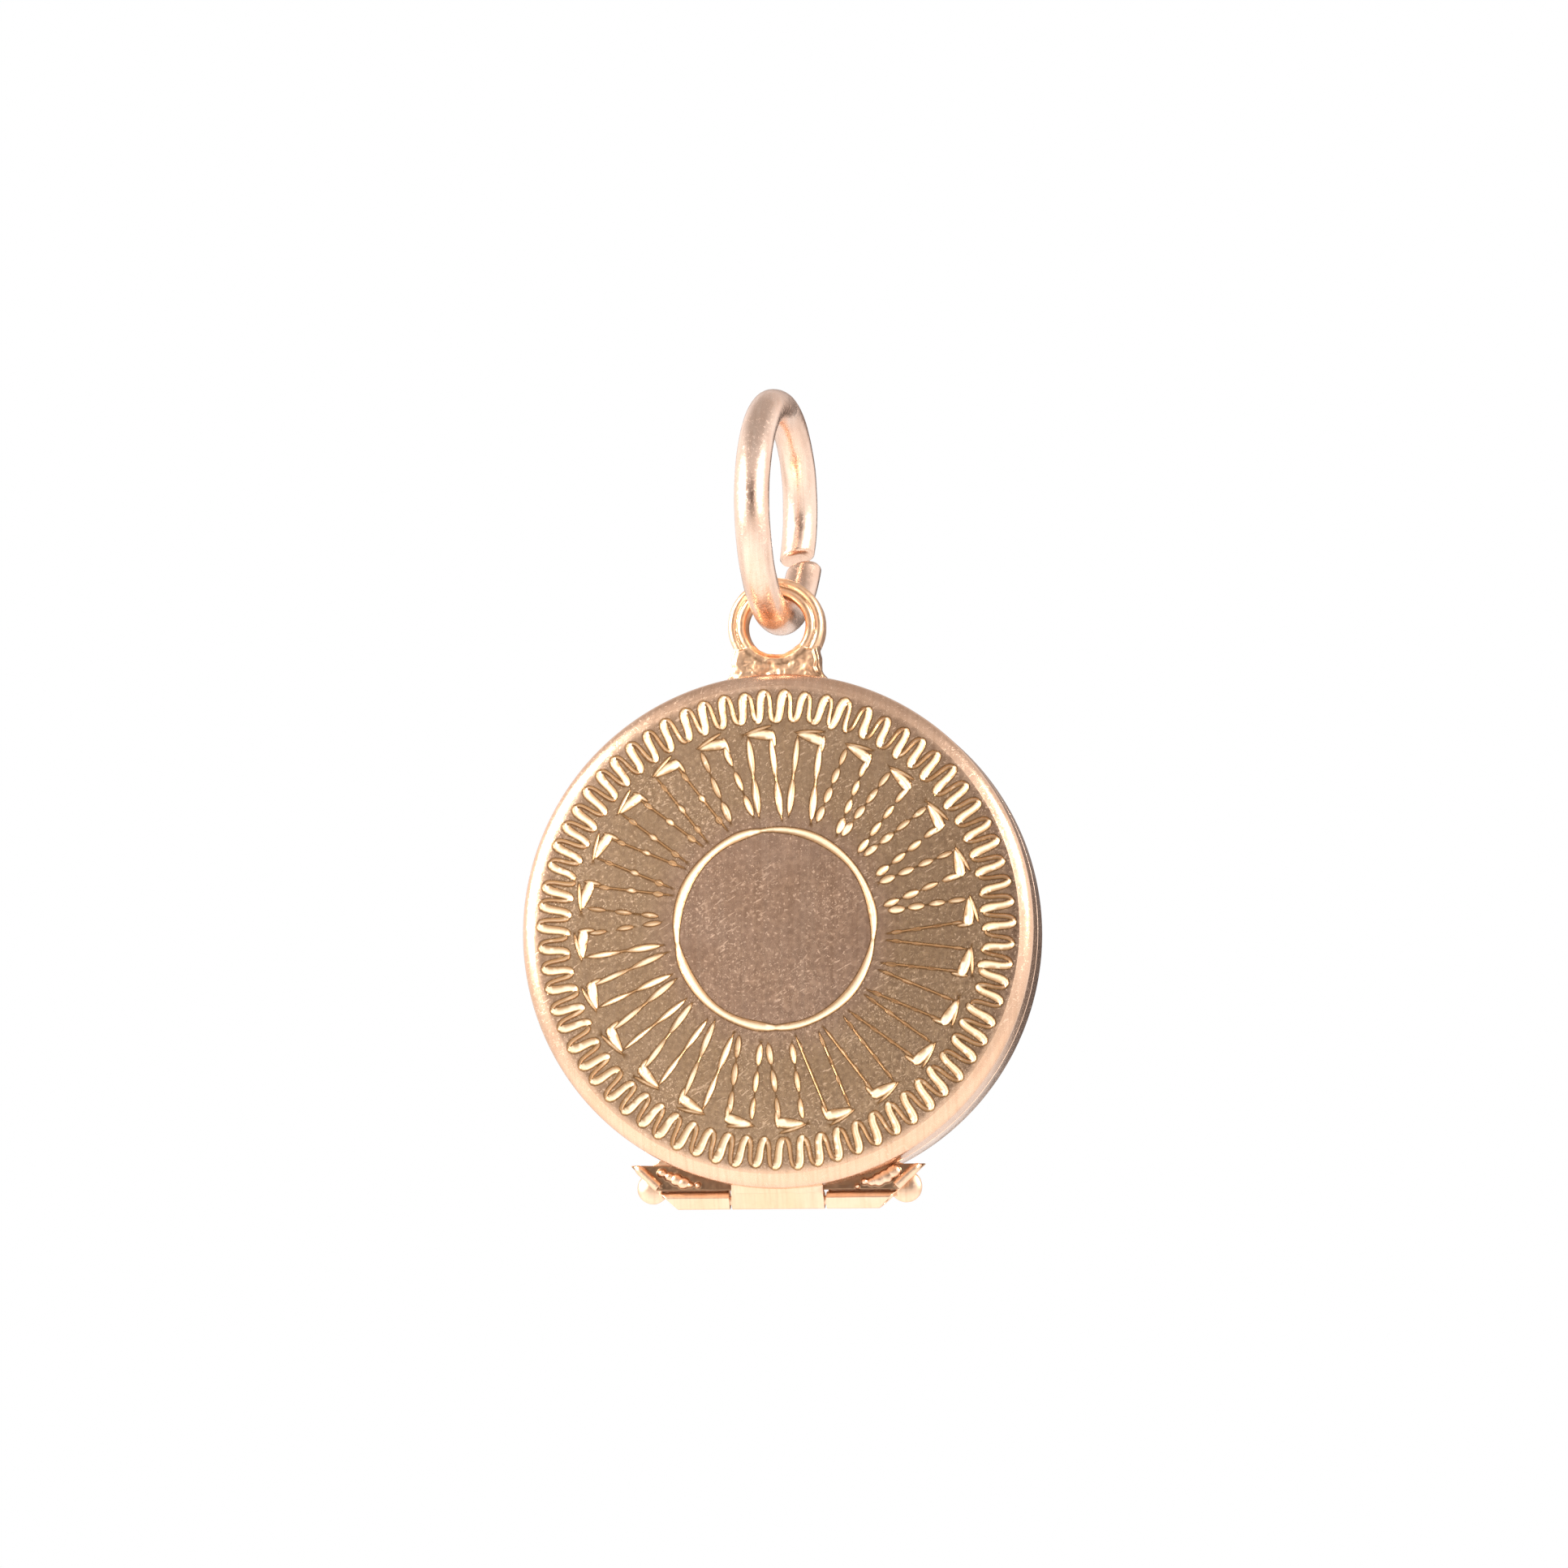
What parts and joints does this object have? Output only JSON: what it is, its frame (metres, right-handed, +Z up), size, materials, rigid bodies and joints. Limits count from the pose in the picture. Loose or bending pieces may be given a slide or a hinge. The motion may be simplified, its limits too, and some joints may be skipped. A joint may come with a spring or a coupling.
{
  "type": "locket",
  "caption": "Small round hinged locket with a ray-engraved front, soldered bail and heavy open jump ring; the front half opens forwards on a bottom hinge.",
  "frame": {"origin": "the inside top of the jump ring, where a chain or cord bears", "axes": "+Z up along the hanging locket, -Y towards the engraved front, +X to the right as seen from the front"},
  "size_m": [0.017, 0.0082, 0.0274],
  "materials": {
    "jump_ring": "worn polished rose gold wire",
    "bail": "worn polished rose gold",
    "engraved_front": "bright-cut engraving on worn, brushed rose gold",
    "plain_back": "worn polished rose gold",
    "inner_gold": "bright yellow gold",
    "photo_card": "matte cream card",
    "glazing": "clear celluloid",
    "hinge": "filed and polished rose gold"
  },
  "bodies": {
    "ring": {"jump_ring": "jump_ring"},
    "back_half": {"bail_ring": "bail", "bail_saddle": "bail", "back_cover": "plain_back", "back_case_ring": "inner_gold", "snap_rim": "inner_gold", "back_photo_card": "photo_card", "back_glazing": "glazing", "back_photo_frame": "inner_gold", "hinge_knuckle_back_left": "hinge", "hinge_knuckle_back_right": "hinge", "hinge_pin": "hinge", "back_wing_left": "hinge", "back_wing_right": "hinge"},
    "front_half": {"front_cover": "engraved_front", "front_case_ring": "inner_gold", "front_photo_card": "photo_card", "front_glazing": "glazing", "front_photo_frame": "inner_gold", "hinge_knuckle_front": "hinge", "front_wing_left": "hinge", "front_wing_right": "hinge"}
  },
  "joints": [
    {"name": "bail_swing", "type": "hinge", "parent": "ring", "child": "back_half", "pos_m": [0, 0, -0.00647], "axis": [0, 1, 0], "range_deg": [-100, 100]},
    {"name": "front_opening", "type": "hinge", "parent": "back_half", "child": "front_half", "pos_m": [0.00012, -0.00055, -0.0259], "axis": [1, 0, 0], "range_deg": [0, 180]}
  ]
}
